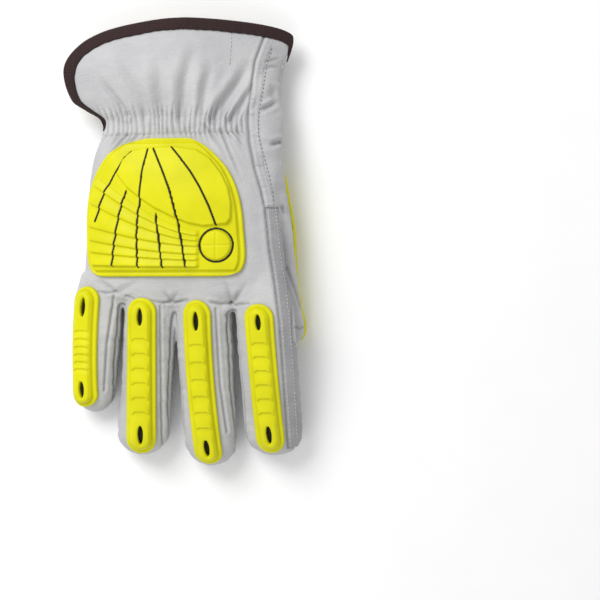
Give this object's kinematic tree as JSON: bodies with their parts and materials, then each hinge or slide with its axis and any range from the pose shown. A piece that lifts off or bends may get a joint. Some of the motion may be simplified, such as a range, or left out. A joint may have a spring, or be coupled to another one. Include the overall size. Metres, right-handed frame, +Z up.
{
  "type": "impact glove",
  "caption": "Right-hand leather work glove with moulded impact guards on its back, fingers and thumb, and a bound, lined cuff.",
  "frame": {"origin": "the middle of the palm's flat resting face, on the surface that the glove lies on", "axes": "+Z up out of the back of the hand, +Y from the palm towards the cuff's mouth, so the fingers point along -Y, and +X towards the index finger and the thumb"},
  "size_m": [0.1378, 0.2512, 0.0447],
  "materials": {
    "leather": "matte, grained",
    "strip_leather": "matte, grained",
    "lining_knit": "matte",
    "binding_tape": "matte",
    "guard_rubber": "satin",
    "backing_cloth": "matte"
  },
  "bodies": {
    "root": {"back_panel": "leather", "palm_panel": "leather", "thumb_panel": "leather", "fourchette_pinky_ring": "leather", "fourchette_ring_middle": "leather", "fourchette_middle_index": "leather", "index_strip": "strip_leather", "lining": "lining_knit", "cuff_binding": "binding_tape", "back_guard": "guard_rubber", "guard_pinky": "guard_rubber", "guard_ring": "guard_rubber", "guard_middle": "guard_rubber", "guard_index": "guard_rubber", "guard_thumb": "guard_rubber", "backing_back": "backing_cloth", "backing_pinky": "backing_cloth", "backing_ring": "backing_cloth", "backing_middle": "backing_cloth", "backing_index": "backing_cloth", "backing_thumb": "backing_cloth"}
  },
  "joints": []
}
